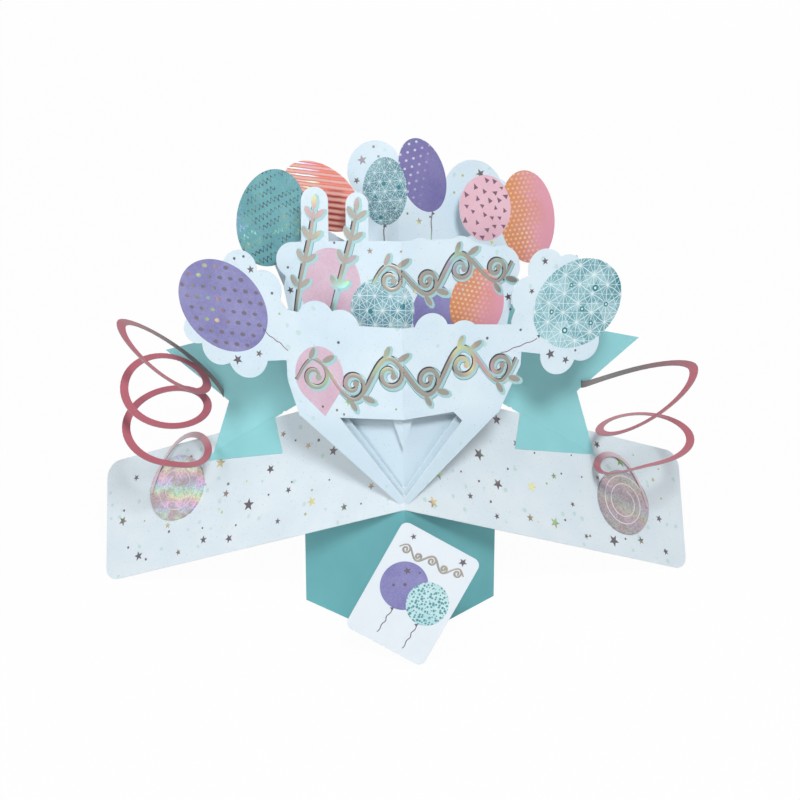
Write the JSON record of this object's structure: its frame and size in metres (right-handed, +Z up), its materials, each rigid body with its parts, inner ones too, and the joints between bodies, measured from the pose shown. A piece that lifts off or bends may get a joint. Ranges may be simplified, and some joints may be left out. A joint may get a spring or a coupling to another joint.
{
  "type": "pop up card",
  "caption": "Standing paper pop up card: a V-folded stand and sloping wings carry fanned die-cut balloon and cloud layers, a pointed backdrop, spiral streamers and a leaning tag.",
  "frame": {"origin": "foot of the stand's front ridge, on the table", "axes": "+X from left to right across the card, +Y away from the viewer, +Z up"},
  "size_m": [0.246, 0.1143, 0.1887],
  "materials": {
    "teal_card": "matt, plain aqua",
    "star_paper": "matt pale blue with foil stars",
    "streamer_paper": "satin rose, silver reverse",
    "tag_card": "matt white with foil"
  },
  "bodies": {
    "root": {"base_stand": "teal_card", "starry_wings": "star_paper", "front_panel": "star_paper", "middle_panel": "star_paper", "balloon_panel": "star_paper", "rear_panel": "star_paper", "teal_backdrop": "teal_card", "left_streamer": "streamer_paper", "right_streamer": "streamer_paper", "gift_tag": "tag_card"}
  },
  "joints": []
}
